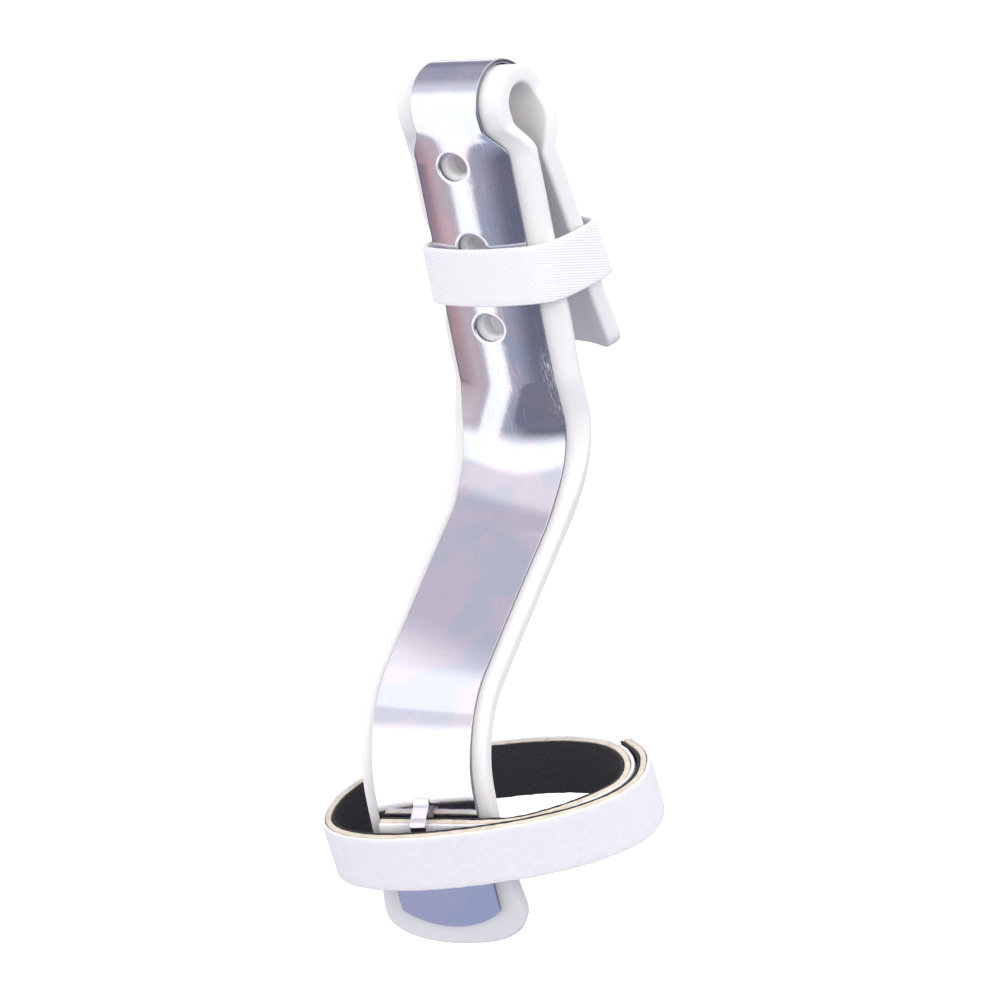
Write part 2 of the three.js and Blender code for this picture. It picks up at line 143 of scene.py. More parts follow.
def on_strip(aside, at, rise):
    """Where a place of the flat blank lies on the bent strip, rise above its palm side."""
    at = round(at, 7)
    point, run, width, out = strip_frame(at)
    full, depth, margin, pressed = strip_section(at)
    across = aside / (full / 2)
    normal = (out + width * (4 * depth * across / full)).normalized()
    return point + width * aside - out * (depth * across * across) + normal * rise


def pick_only(*pieces):
    """Selects these pieces and no others, and makes the last of them active."""
    for thing in bpy.context.selected_objects:
        thing.select_set(False)
    for piece in pieces:
        piece.select_set(True)
        bpy.context.view_layer.objects.active = piece


def flat_blank(name, columns, rows, foot, tail, foot_round, tail_round, edges_at, rounding):
    """A flat sheet cut to its outline less its edge rounding, its rows closer at its ends."""
    foot, tail = foot + rounding, tail - rounding
    pick_only()
    bpy.ops.mesh.primitive_grid_add(x_subdivisions=columns, y_subdivisions=rows, size=1)
    blank = bpy.context.object
    blank.name = blank.data.name = name
    ends = 14  # rows spent on each rounded end
    for vertex in blank.data.vertices:
        row = round((vertex.co.y + 0.5) * rows)
        if row <= ends:
            at = foot + foot_round * (1 - math.cos(row / ends * math.pi / 2))
        elif row >= rows - ends:
            at = tail - tail_round * (1 - math.cos((rows - row) / ends * math.pi / 2))
        else:
            share = (row - ends) / (rows - 2 * ends)
            at = mixed(foot + foot_round, tail - tail_round, share)
        left, right = edges_at(at, rounding)
        vertex.co = (mixed(left, right, vertex.co.x + 0.5), at, 0)
    bpy.ops.object.mode_set(mode="EDIT")
    bpy.ops.mesh.select_all(action="SELECT")
    bpy.ops.mesh.remove_doubles(threshold=1e-6)
    bpy.ops.object.mode_set(mode="OBJECT")
    return blank


def punched(blank, aside, at, half_width, half_height, power, rings):
    """Punches a hole with rings of faces round it.

    The rings are (size, rise) from the outside in, with 1 as the hole's own size.
    """
    spare, search = 0.0004, 0.0019
    pick_only(blank)
    bpy.ops.object.mode_set(mode="EDIT")
    bpy.ops.mesh.select_mode(type="FACE")
    bpy.ops.mesh.select_all(action="DESELECT")
    sheet = bmesh.from_edit_mesh(blank.data)
    wide, high = half_width * rings[0][0], half_height * rings[0][0]

    def within(co, reach):
        return abs(co.x - aside) < wide + reach and abs(co.y - at) < high + reach

    for face in sheet.faces:
        face.select_set(within(face.calc_center_median(), spare))
    bmesh.update_edit_mesh(blank.data)
    bpy.ops.mesh.delete(type="FACE")
    bpy.ops.mesh.select_mode(type="EDGE")
    sheet = bmesh.from_edit_mesh(blank.data)
    for edge in sheet.edges:
        edge.select_set(edge.is_boundary and all(within(v.co, search) for v in edge.verts))
    bmesh.update_edit_mesh(blank.data)
    for size, rise in rings:
        bpy.ops.mesh.extrude_edges_move()
        sheet = bmesh.from_edit_mesh(blank.data)
        for vertex in (v for v in sheet.verts if v.select):
            up, along = (vertex.co.y - at) / half_height, (vertex.co.x - aside) / half_width
            angle = math.atan2(up, along)
            c, s = math.cos(angle), math.sin(angle)
            reach = size * (abs(c) ** power + abs(s) ** power) ** (-1 / power)
            vertex.co = (aside + half_width * c * reach, at + half_height * s * reach, rise)
        bmesh.update_edit_mesh(blank.data)
    bpy.ops.object.mode_set(mode="OBJECT")


def apply_modifiers(piece):
    pick_only(piece)
    for modifier in list(piece.modifiers):
        bpy.ops.object.modifier_apply(modifier=modifier.name)


def spot_key(co):
    return tuple(round(value, 8) for value in co)


def rolled_edge(piece, thickness, rounding, segments=4):
    """Rolls every edge of a flat sheet over to half its thickness and mirrors the other half."""
    pick_only(piece)
    bpy.ops.object.mode_set(mode="EDIT")
    bpy.ops.mesh.select_mode(type="EDGE")
    bpy.ops.mesh.select_all(action="DESELECT")
    sheet = bmesh.from_edit_mesh(piece.data)
    starts = {}
    for edge in (e for e in sheet.edges if e.is_boundary):
        edge.select_set(True)
        middle = edge.link_faces[0].calc_center_median()
        along = edge.verts[1].co - edge.verts[0].co
        away = Vector((along.y, -along.x, 0)).normalized()
        if away.dot(edge.verts[0].co - middle) < 0:
            away = -away
        for vertex in edge.verts:
            key = spot_key(vertex.co)
            start, level, outwards = starts.get(key, (vertex.co.copy(), vertex.co.z, Vector()))
            starts[key] = (start, level, outwards + away)
    bmesh.update_edit_mesh(piece.data)
    for step in range(1, segments + 2):
        bpy.ops.mesh.extrude_edges_move()
        sheet = bmesh.from_edit_mesh(piece.data)
        moved = {}
        angle = min(step, segments) / segments * math.pi / 2
        for vertex in (v for v in sheet.verts if v.select):
            start, level, outwards = starts[spot_key(vertex.co)]
            spot = start + outwards.normalized() * (rounding * math.sin(angle))
            fallen = level - rounding * (1 - math.cos(angle))
            spot.z = fallen if step <= segments else -thickness / 2
            vertex.co = spot
            moved[spot_key(vertex.co)] = (start, level, outwards)
        starts = moved
        bmesh.update_edit_mesh(piece.data)
    bpy.ops.object.mode_set(mode="OBJECT")
    for vertex in piece.data.vertices:
        vertex.co.z += thickness / 2
    under = piece.modifiers.new("underside", "MIRROR")
    under.use_axis = (False, False, True)
    under.merge_threshold = 1e-6
    apply_modifiers(piece)
    for vertex in piece.data.vertices:
        vertex.co.z -= thickness / 2


def keep_flat_places(piece, cut_edges=False):
    """Stores each place of the flat blank, in metres, as the piece's UV map.

    Where cut_edges is set, faces on the cut edges lie one metre aside on it.
    """
    layer = piece.data.uv_layers.active or piece.data.uv_layers.new(name="blank")
    layer.name = "blank"
    for face in piece.data.polygons:
        shift = 1.0 if cut_edges and abs(face.normal.z) < 0.5 else 0.0
        for number in face.loop_indices:
            co = piece.data.vertices[piece.data.loops[number].vertex_index].co
            layer.data[number].uv = (co.x + shift, co.y)


def smoothed(piece, angle=40):
    pick_only(piece)
    bpy.ops.object.shade_smooth_by_angle(angle=math.radians(angle))


def bend_to_strip(piece, sunk=0.0):
    """Bends a flat piece to the strip's shape, sunk below its palm side."""
    for vertex in piece.data.vertices:
        vertex.co = on_strip(vertex.co.x, vertex.co.y, vertex.co.z - sunk)
    piece.data.update()


def strip_edges(at, rounding):
    """Left and right edge of the metal less its rounding: an arc at its foot, round corners."""
    half = strip_section(round(at, 7))[0] / 2 - rounding
    from_foot, radius = at - strip_foot - rounding, corner_radius - rounding
    if from_foot < wrist_arc:
        arc = (half * half + wrist_arc * wrist_arc) / (2 * wrist_arc)
        half = math.sqrt(max(0, 2 * arc * from_foot - from_foot * from_foot))
    from_tail = max(0, corner_radius - (strip_tail - at))
    half += math.sqrt(max(0, radius ** 2 - from_tail ** 2)) - radius
    return -half, half


vent_half_width, vent_half_height, vent_pitch = 0.0037, 0.0029, 0.0174
vents = [(-0.0002, -vent_pitch), (-0.0003, 0.0), (-0.0013, vent_pitch)]
round_hole, square_hole = 2, 9
metal_rounding = 0.00022
vent_lip = [(1.2, 0), (1.1, -0.00002), (1.045, -0.00006), (1, -0.00012)]
strip = flat_blank("metal_strip", 26, 330, strip_foot, strip_tail, wrist_arc,
                   corner_radius - metal_rounding, strip_edges, metal_rounding)
for aside, at in vents:
    punched(strip, aside, at, vent_half_width + metal_rounding,
            vent_half_height + metal_rounding, round_hole, vent_lip)

# The tongue is lanced out of the strip: its window is cut first, then the tab is pressed out
# far enough for the wrist strap's laminate to pass under it.
pile_thickness, backing_thickness, hook_thickness, bond_line = 0.00075, 0.0011, 0.00055, 0.0002
laminate = pile_thickness + backing_thickness + hook_thickness + 2 * bond_line
fit_clearance, wrap_clearance = 0.0003, 0.0005
wrist_strap_width, wrist_strap_above_foot = 0.0122, 0.0232
wrist_strap_at = strip_foot + wrist_strap_above_foot
inner_rise = -0.09 * wrist_strap_width
tongue_width, tongue_length, tongue_aside = 0.0034, 0.013, -0.0008
tongue_rise = fit_clearance + laminate + wrap_clearance
tongue_setback = 0.0029
tongue_root = wrist_strap_at + inner_rise + wrist_strap_width / 2 + tongue_setback
slot_beside, slot_above, window_spare = 0.0005, 0.0003, 0.0007
window_half = (tongue_length + window_spare) / 2
punched(strip, tongue_aside, tongue_root - slot_above - window_half,
        tongue_width / 2 + slot_beside, window_half, square_hole, [(1.0, 0)])
rolled_edge(strip, gauge, metal_rounding)
keep_flat_places(strip, cut_edges=True)
bend_to_strip(strip)

# The tab's side view: how far below its root, and how far out of the strip
tongue_profile = [
    (-0.0014, -0.9 * gauge), (-0.0006, -0.55 * gauge), (0.0001, -0.15 * gauge),
    (0.0006, 0.25 * tongue_rise), (0.0012, 0.55 * tongue_rise), (0.0018, 0.86 * tongue_rise),
    (0.0025, tongue_rise), (0.0034, tongue_rise), (0.5 * tongue_length, tongue_rise),
    (tongue_length, tongue_rise),
]
pick_only()
tongue_rows = len(tongue_profile) - 1
bpy.ops.mesh.primitive_grid_add(x_subdivisions=4, y_subdivisions=tongue_rows, size=1)
tongue = bpy.context.object
for vertex in tongue.data.vertices:
    down, rise = tongue_profile[round((0.5 - vertex.co.y) * tongue_rows)]
    vertex.co = (tongue_aside + vertex.co.x * tongue_width, tongue_root - down, rise + gauge)
smooth_bend = tongue.modifiers.new("bend", "SUBSURF")
smooth_bend.levels = smooth_bend.render_levels = 2
smooth_bend.boundary_smooth = "PRESERVE_CORNERS"
tab_wall = tongue.modifiers.new("wall", "SOLIDIFY")
tab_wall.thickness, tab_wall.offset = gauge, -1
tab_edge = tongue.modifiers.new("edge", "BEVEL")
tab_edge.width, tab_edge.segments, tab_edge.angle_limit = 0.00018, 3, math.radians(50)
apply_modifiers(tongue)
keep_flat_places(tongue)
bend_to_strip(tongue)
pick_only(tongue, strip)
bpy.ops.object.join()
smoothed(strip)
even_faces = strip.modifiers.new("even faces", "WEIGHTED_NORMAL")
even_faces.keep_sharp = True
apply_modifiers(strip)


class Value:
    """A shader socket that adds its own Math nodes when it is used in an expression."""

    def __init__(self, tree, socket):
        self.tree, self.socket = tree, socket

    def math(self, operation, *others):
        return self.tree.add("ShaderNodeMath", {"operation": operation}, self, *others)

    def __add__(self, other):
        return self.math("ADD", other)

    __radd__ = __add__

    def __sub__(self, other):
        return self.math("SUBTRACT", other)

    def __rsub__(self, other):
        return self.tree.add("ShaderNodeMath", {"operation": "SUBTRACT"}, other, self)

    def __mul__(self, other):
        return self.math("MULTIPLY", other)

    def step(self, low, high):
        """0 below low and 1 above high, smooth between them; high may be the lower one."""
        smooth = {"interpolation_type": "SMOOTHSTEP"}
        return self.tree.add("ShaderNodeMapRange", smooth, self, low, high)


class Finish:
    """A material or a world, with the methods that add and join its nodes."""

    def __init__(self, owner):
        owner.use_nodes = True
        self.owner, self.tree = owner, owner.node_tree
        self.nodes = self.tree.nodes

    def add(self, kind, settings, *inputs, output=0, **named):
        node = self.nodes.new(kind)
        for setting, value in settings.items():
            setattr(node, setting, value)
        for place, value in [*enumerate(inputs), *named.items()]:
            if isinstance(place, str):
                place = place.replace("_", " ")
            self.join(node.inputs[place], value)
        return Value(self, node.outputs[output])

    def join(self, socket, value):
        if isinstance(value, Value):
            self.tree.links.new(value.socket, socket)
        else:
            socket.default_value = (*value, 1) if socket.type == "RGBA" else value

    def mix(self, share, first, second):
        node = self.nodes.new("ShaderNodeMix")
        node.data_type = "RGBA"
        for place, value in ((0, share), (6, first), (7, second)):
            self.join(node.inputs[place], value)
        return Value(self, node.outputs[2])

    def flat_place(self, stretch=(1, 1, 1), turn=0.0):
        """The place on the flat blank, in millimetres, stretched and turned."""
        places = self.add("ShaderNodeUVMap", {"uv_map": "blank"})
        millimetres = tuple(1000 * share for share in stretch)
        return self.add("ShaderNodeMapping", {}, places, Rotation=(0, 0, turn), Scale=millimetres)

    def object_place(self):
        return self.add("ShaderNodeTexCoord", {}, output=3)

    def noise(self, places, scale, detail=3.0, roughness=0.5):
        return self.add("ShaderNodeTexNoise", {}, Vector=places, Scale=scale, Detail=detail,
                        Roughness=roughness)

    def surface(self, **values):
        shader = self.nodes["Principled BSDF"]
        for name, value in values.items():
            self.join(shader.inputs[name.replace("_", " ")], value)

    def bump(self, height, distance, strength=1.0):
        return self.add("ShaderNodeBump", {}, Height=height, Distance=distance, Strength=strength)


def new_finish(name):
    return Finish(bpy.data.materials.new(name))


def finished(piece, finish, slot, *nodes):
    """Gives a piece its one material, hides the frame's solids that it stands for, and hangs it on
    the root body.
    """
    piece.data.materials.clear()
    piece.data.materials.append(finish.owner)
    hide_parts(*nodes)
    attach(piece, "root")


# Rolling grain and long scratches run along the sheet, clouds of painted pink and blue-grey
# reflection lie over it, and its right edge is rubbed dull above the knuckle bend. The cut
# edges are duller, and their darker colour is painted shade along the metal's edges.
satin = new_finish("satin_aluminium")
bright_metal, dull_metal, cut_edge_painted_shade = (0.95, 0.95, 0.97), (0.68, 0.69, 0.74), (0.30, 0.30, 0.34)
sheet_place = satin.flat_place()
rolled = satin.noise(satin.flat_place((1, 0.03, 1)), 2.6, 4)
mottle = satin.noise(sheet_place, 1.1, 5, 0.62)
reflection_clouds = satin.noise(sheet_place, 0.07, 2)
scratch = satin.noise(satin.flat_place((1, 0.02, 1), 0.04), 5.0, 1).step(0.66, 0.74)
scuffs = satin.noise(satin.flat_place((0.25, 1, 1), -0.2), 1.6, 2).step(0.7, 0.78)
# Soft clouds of pink and blue-grey in the metal's colour: painted reflection, not tarnish.
tint = satin.mix(reflection_clouds.step(0.44, 0.56), (0.75, 0.78, 0.86), (0.88, 0.80, 0.86))
grain = satin.noise(satin.flat_place((1, 0.85, 1)), 2.1, 4, 0.7)
tint = satin.mix(grain.step(0.38, 0.64) * 0.4, tint, dull_metal)
across, along = (satin.add("ShaderNodeSeparateXYZ", {}, sheet_place, output=k) for k in (0, 1))
worn = across.step(9.2, 12.2) * along.step(-41, -35) * along.step(-19, -27)
worn = worn * satin.noise(satin.flat_place((1, 0.14, 1), 0.1), 3.4, 4, 0.7).step(0.42, 0.64)
tint = satin.mix(worn * 0.6, tint, bright_metal)
tint = satin.mix(scratch * 0.35, tint, bright_metal)
# The cut edges' darker colour is painted shade of the dark line along the metal's edges; their
# extra roughness is their own.
cut = across.step(490, 510)
tint = satin.mix(cut, tint, cut_edge_painted_shade)
satin.surface(
    Base_Color=tint,
    Metallic=1.0,
    Roughness=0.07 + mottle * 0.06 + rolled * 0.04 + scuffs * 0.06
    + cut * 0.25 + worn * 0.45,
    Normal=satin.bump(mottle * 0.5 + rolled * 0.35 + scratch * 0.3, 0.00002, 0.6),
)
finished(strip, satin, "aluminium", "aluminium_strip")

# Foam lining.
# Soft white closed-cell foam, cut a little wider than the metal with the same three holes,
# and glued to the whole inside of the strip before it is bent.
foam_thickness, glue_line, foam_edge = 0.0038, 0.0003, 0.0009
foam_foot_round, foam_foot_power, foam_tail_round = 0.010, 2.3, 0.004
foam_waver, foam_swell = 0.00012, 0.00006


def foam_edges(at, rounding):
    """Left and right edge of the foam less its rounding: a full round foot, round corners."""
    width, depth, margin, pressed = strip_section(round(at, 7))
    half = width / 2 + margin - rounding
    left = 1 - (at - rounding + down_length) / (foam_foot_round - rounding)
    if left > 0:
        half *= max(0, 1 - min(1, left) ** foam_foot_power) ** (1 / foam_foot_power)
    from_tail, radius = max(0, foam_tail_round - (up_length - at)), foam_tail_round - rounding
    half += math.sqrt(max(0, radius ** 2 - from_tail ** 2)) - radius
    return pressed - half, half


foam = flat_blank("foam_lining", 26, 300, -down_length, up_length, foam_foot_round - foam_edge,
                  foam_tail_round - foam_edge, foam_edges, foam_edge)
soft_lip = [(1.25, 0), (1.1, -0.0001), (1.03, -0.0002), (1, -0.0003)]
for aside, at in vents:
    punched(foam, aside, at, vent_half_width + foam_edge / 4,
            vent_half_height + foam_edge / 4, round_hole, soft_lip)
rolled_edge(foam, foam_thickness, foam_edge, 5)
keep_flat_places(foam)
for vertex in foam.data.vertices:
    waver = noise.noise(Vector((vertex.co.x * 60, vertex.co.y * 90, 3.0)))
    vertex.co.x += waver * foam_waver
    swell = noise.noise(Vector((vertex.co.x * 150, vertex.co.y * 150, 9.0)))
    vertex.co.z += swell * foam_swell
bend_to_strip(foam, gauge + glue_line)
smoothed(foam, 60)

cellular = new_finish("closed_cell_foam")
foam_place = cellular.object_place()
cells = cellular.noise(foam_place, 2600, 2)
soft_dents = cellular.noise(foam_place, 300, 3)
pores = cellular.add("ShaderNodeTexVoronoi", {}, Vector=foam_place, Scale=1900).step(0.16, 0.02)
handled = cellular.noise(foam_place, 60, 3).step(0.45, 0.75)
foam_colour = cellular.mix(handled * 0.5, (0.90, 0.88, 0.872), (0.87, 0.845, 0.835))
# The pores are darkened in the foam's colour: painted shade in them.
cellular.surface(
    Base_Color=cellular.mix(pores * 0.25, foam_colour, (0.74, 0.71, 0.70)),
    Roughness=0.86 + cells * 0.1,
    Normal=cellular.bump(cells * 0.4 + soft_dents * 0.8 - pores * 0.5, 0.00006, 0.55),
)
finished(foam, cellular, "foam", "foam_pad")

# Finger strap.
# Woven hook-and-loop tape with fine diagonal ribs, wrapped once round both legs of the strip
# and pressed together, its edges heat cut.
tape_thickness, tape_rounding, tape_fray = 0.0013, 0.00035, 0.00006
tape_pressed = 0.96  # share of its thickness left where it is pulled tight
tape_start = 0.62  # share of the girth at which the tape starts


def curved(points, closed=False):
    """A centripetal curve through points, as a function of its share from 0 to 1."""
    count = len(points)

    def place(share):
        spot = share * (count if closed else count - 1)
        number = min(int(spot), count - 1 if closed else count - 2)
        part = spot - number
        if closed:
            a, b, c, d = (points[(number + k) % count] for k in (-1, 0, 1, 2))
        else:
            b, c = points[number], points[number + 1]
            a = points[number - 1] if number else 2 * b - c
            d = points[number + 2] if number + 2 < count else 2 * c - b
        gaps = ((b - a), (c - b), (d - c))
        t0, t1, t2 = (max(1e-6, gap.length_squared) ** 0.25 for gap in gaps)
        start = ((b - a) / t0 - (c - a) / (t0 + t1) + (c - b) / t1) * t1
        finish = ((c - b) / t1 - (d - b) / (t1 + t2) + (d - c) / t2) * t1
        return (b + start * part + (3 * (c - b) - 2 * start - finish) * part ** 2
                + (2 * (b - c) + start + finish) * part ** 3)

    return place


def rear_face(height):
    """How far back the metal's rear leg lies at one height."""
    low, high = rear_shoulder - neck, up_length
    for _ in range(30):
        middle = (low + high) / 2
        if strip_frame(middle)[0].z > height:
            low = middle
        else:
            high = middle
    return strip_frame(low)[0].y


def step_at(reached, distance):
    """The step, and the part of the next one, at which a list of distances comes to one."""
    low, high = 0, len(reached) - 1
    while high - low > 1:
        middle = (low + high) // 2
        if reached[middle] > distance:
            high = middle
        else:
            low = middle
    return low + (distance - reached[low]) / (reached[high] - reached[low])


def tape_girth(height):
    """The tape's inner path round both legs at one height, in even steps."""
    width, depth, margin, pressed = strip_section(round(height, 7))
    front, rear = -face_in_front - fit_clearance, rear_face(height) + fit_clearance
    # A quarter of the path from the middle to the edge: shares of the half width and the drop
    quarter = [(0, 0), (0.3, 0.04), (0.56, 0.17), (0.8, 0.36), (0.95, 0.64), (1, 1.12)]

    def side(sign, margin):
        edge = on_strip(width / 2 + margin, height, -gauge - glue_line)
        half, drop = edge.x + fit_clearance, edge.y + face_in_front
        return ([(sign * a * half, front + d * drop) for a, d in quarter]
                + [(sign * a * half, rear - d * drop) for a, d in reversed(quarter)])

    ring = side(1, margin) + side(-1, margin - pressed)[-2:0:-1]
    path = curved([Vector((x, y, height)) for x, y in ring], closed=True)
    fine_steps = 1200
    fine = [path(step / fine_steps) for step in range(fine_steps + 1)]
    reached = [0.0]
    for before, after in zip(fine, fine[1:]):
        reached.append(reached[-1] + (after - before).length)
    return fine, reached


def along_girth(girth, share):
    """The point at a share of the way round a girth."""
    fine, reached = girth
    spot = step_at(reached, share % 1.0 * reached[-1])
    before = min(int(spot), len(fine) - 2)
    return fine[before].lerp(fine[before + 1], spot - before)


low_girth = tape_girth(-strap_drop - strap_width / 2)
high_girth = tape_girth(-strap_drop + strap_width / 2)
girth_length = (low_girth[1][-1] + high_girth[1][-1]) / 2
pick_only()
bpy.ops.mesh.primitive_grid_add(x_subdivisions=220, y_subdivisions=14, size=1)
tape = bpy.context.object
tape.name = tape.data.name = "finger_tape"
for vertex in tape.data.vertices:
    vertex.co = ((vertex.co.x + 0.5) * (girth_length - 2 * tape_rounding),
                 vertex.co.y * (strap_width - 2 * tape_rounding), 0)
rolled_edge(tape, tape_thickness * tape_pressed, tape_rounding, 3)
for vertex in tape.data.vertices:
    vertex.co.z += tape_thickness
keep_flat_places(tape)
for vertex in tape.data.vertices:
    share, height = vertex.co.x / girth_length + tape_start, vertex.co.y / strap_width + 0.5
    nearby = 0.004
    spots = [along_girth(low_girth, s).lerp(along_girth(high_girth, s), height)
             for s in (share - nearby, share, share + nearby)]
    run = spots[2] - spots[0]
    outwards = Vector((run.y, -run.x, 0)).normalized()
    ragged = noise.noise(Vector((vertex.co.x * 1500, height * 3, 0))) * tape_fray
    vertex.co = spots[1] + outwards * vertex.co.z
    vertex.co.z += ragged * (2 * height - 1)
smoothed(tape, 60)

# The ribs rise to the right across the front and turn level on the right side.
woven = new_finish("woven_tape")
tape_white, rib_groove_shade, worn_white = (0.955, 0.945, 0.955), (0.79, 0.77, 0.81), (0.95, 0.94, 0.95)
ribs = {"bands_direction": "Y", "wave_profile": "SIN"}
front_ribs, side_ribs = (
    woven.add("ShaderNodeTexWave", ribs, Vector=woven.flat_place(turn=turn), Scale=0.54,
              Distortion=0.4, Detail=1.0, Detail_Scale=1.5) for turn in (-0.5, 0.3))
on_side = woven.add("ShaderNodeSeparateXYZ", {}, woven.flat_place()).step(52.5, 53.5)
rib = front_ribs * (1 - on_side) + side_ribs * on_side
handled_patches = woven.noise(woven.flat_place(), 0.5, 2)
threads = woven.noise(woven.flat_place((1, 0.3, 1), 0.16), 6.0, 2)
lint = woven.noise(woven.flat_place(), 9.0, 3)
weave_height = rib * 0.7 + threads * 0.25 + lint * 0.3
# Darker between the ribs: painted shade in the grooves of the weave.
tape_colour = woven.mix(rib.step(0.45, 0.05) * 0.4, tape_white, rib_groove_shade)
woven.surface(
    Base_Color=woven.mix(handled_patches.step(0.55, 0.8) * 0.3, tape_colour, worn_white),
    Roughness=0.82 + lint * 0.15,
    Sheen_Weight=0.25,
    Sheen_Roughness=0.5,
    Normal=woven.bump(weave_height, 0.0001, 0.8),
)
finished(tape, woven, "woven_tape", "finger_strap")

# Wrist strap.
# Three layers laminated together: a white brushed pile outside, cream foam-backed cloth and black
# hooks inside. It passes under the tongue, goes once round and is pressed on over its own start.
loop_width, front_depth, back_depth = 0.0676, 0.016, 0.0235
left_clearance, leave_aside = 0.00685, 0.010
loop_dip, loop_lean, loop_spin = -3.4, 6.1, 4.9
loop_squareness = 2.25  # 2 is an ellipse, more is squarer
layer_pitch = laminate + wrap_clearance
loop_ease = 0.0003
# The loop's left end clears the foam's left edge, so its middle lies to the right of the strip's
loop_shift = loop_width / 2 - (palm_width / 2 + wrist_margin + left_clearance)
standoff = tongue_rise + gauge + wrap_clearance + loop_ease + laminate / 2
wrist_point, wrist_run, wrist_side, wrist_out = strip_frame(round(wrist_strap_at, 7))
loop_axis, loop_side, loop_front = wrist_run, wrist_side, wrist_out
for about, angle in ((wrist_side, loop_dip), (wrist_out, loop_lean)):
    tilt = Quaternion(about, math.radians(angle))
    loop_axis, loop_side, loop_front = tilt @ loop_axis, tilt @ loop_side, tilt @ loop_front
spin = Quaternion(loop_axis, math.radians(loop_spin))
loop_side, loop_front = spin @ loop_side, spin @ loop_front
loop_centre = wrist_point + wrist_out * standoff + wrist_side * loop_shift
loop_centre -= loop_front * front_depth

# The turn at which the strap has left the strip, a little past its right edge, for the loop
leave_share = (palm_width / 2 + leave_aside - loop_shift) / (loop_width / 2 - layer_pitch)
leave = math.degrees(math.asin(leave_share ** (loop_squareness / 2)))

# Turn in degrees from the front, layers in from the outer wrap, rise as a share of the width
strap_turns = [(leave, 1, -0.07), (mixed(leave, 90, 0.24), 1, -0.04),
               (mixed(leave, 90, 0.57), 1, 0), (mixed(leave, 90, 0.86), 1, 0)]
strap_turns += [(100, 1, 0), (125, 1, 0), (150, 1, 0), (180, 0.8, 0), (210, 0.4, 0), (235, 0.1, 0)]
strap_turns += [(turn, 0, 0) for turn in (258, *range(280, 401, 20), *range(422, 489, 22))]


def squared(share):
    return math.copysign(abs(share) ** (2 / loop_squareness), share)


# The route's middle and the direction across the strap: under the tongue, then round the loop
strap_route = [(wrist_point + wrist_side * (share * palm_width / 2)
                + wrist_out * (fit_clearance + laminate / 2) + wrist_run * inner_rise, wrist_run)
               for share in (-0.92, -0.45, 0.1, 0.6, 1.15)]
for turn, layer, rise in strap_turns:
    angle = math.radians(turn)
    depth = front_depth if math.cos(angle) > 0 else back_depth
    half, depth = loop_width / 2 - layer * layer_pitch, depth - layer * layer_pitch
    spot = loop_centre + loop_side * (half * squared(math.sin(angle)))
    spot += loop_front * (depth * squared(math.cos(angle)))
    strap_route.append((spot + loop_axis * (rise * wrist_strap_width), loop_axis))
strap_path = curved([spot for spot, up in strap_route])


@lru_cache(None)
def strap_station(share):
    """A place along the strap: point, direction across its width, and outwards."""
    place = share * (len(strap_route) - 1)
    before = min(int(place), len(strap_route) - 2)
    up = strap_route[before][1].lerp(strap_route[before + 1][1], place - before)
    point, nearby = strap_path(share), 1e-4
    run = strap_path(min(1, share + nearby)) - strap_path(max(0, share - nearby))
    run.normalize()
    across = (up - run * up.dot(run)).normalized()
    return point, across, run.cross(across)


strap_steps = 3000
strap_reached = [0.0]
for step in range(strap_steps):
    here, there = strap_path(step / strap_steps), strap_path((step + 1) / strap_steps)
    strap_reached.append(strap_reached[-1] + (there - here).length)
strap_length = strap_reached[-1]


def share_at(distance):
    """The share of the strap's path that lies at a distance along it."""
    return step_at(strap_reached, distance) / strap_steps


def strap_layer(name, lowest, highest, edge, waver, seed):
    """One layer of the laminate, between two heights from its middle, cut a little unevenly."""
    pick_only()
    bpy.ops.mesh.primitive_grid_add(x_subdivisions=380, y_subdivisions=12, size=1)
    layer = bpy.context.object
    layer.name = layer.data.name = name
    for vertex in layer.data.vertices:
        distance = edge + (vertex.co.x + 0.5) * (strap_length - 2 * edge)
        aside = vertex.co.y * (wrist_strap_width - 2 * edge)
        if abs(vertex.co.y) > 0.49:
            aside += noise.noise(Vector((distance * 700, vertex.co.y, seed))) * waver
        vertex.co = (distance, aside, 0)
    rolled_edge(layer, highest - lowest, edge, 3)
    for vertex in layer.data.vertices:
        vertex.co.z += highest
    keep_flat_places(layer)
    for vertex in layer.data.vertices:
        point, across, out = strap_station(round(share_at(vertex.co.x), 7))
        vertex.co = point + across * vertex.co.y + out * vertex.co.z
    smoothed(layer, 60)
    return layer


backing_top = laminate / 2 - pile_thickness - bond_line
hooks_top = hook_thickness - laminate / 2
pile = strap_layer("strap_pile", laminate / 2 - pile_thickness, laminate / 2,
                   edge=0.00034, waver=0.00014, seed=1.0)
backing = strap_layer("strap_backing", backing_top - backing_thickness, backing_top,
                      edge=0.00015, waver=0.0001, seed=4.0)
hooks = strap_layer("strap_hooks", -laminate / 2, hooks_top,
                    edge=0.00012, waver=0.00012, seed=7.0)

brushed = new_finish("brushed_pile")
nap_place = brushed.flat_place()
nap = brushed.noise(nap_place, 3.2, 4, 0.6)
tufts = brushed.noise(nap_place, 0.55, 4, 0.6)
strokes = brushed.noise(brushed.flat_place((0.35, 1, 1), 0.3), 1.5, 3)
pile_colour = brushed.mix(tufts.step(0.3, 0.75), (0.875, 0.855, 0.885), (0.92, 0.90, 0.92))
brushed.surface(
    Base_Color=brushed.mix(nap.step(0.62, 0.8) * 0.3, pile_colour, (0.97, 0.965, 0.98)),
    Roughness=0.88 + nap * 0.1,
    Sheen_Weight=0.35,
    Sheen_Roughness=0.6,
    Normal=brushed.bump(nap * 0.8 + tufts * 0.6 + strokes * 0.3, 0.00022, 0.6),
)
finished(pile, brushed, "brushed_pile", "wrist_strap_pile")

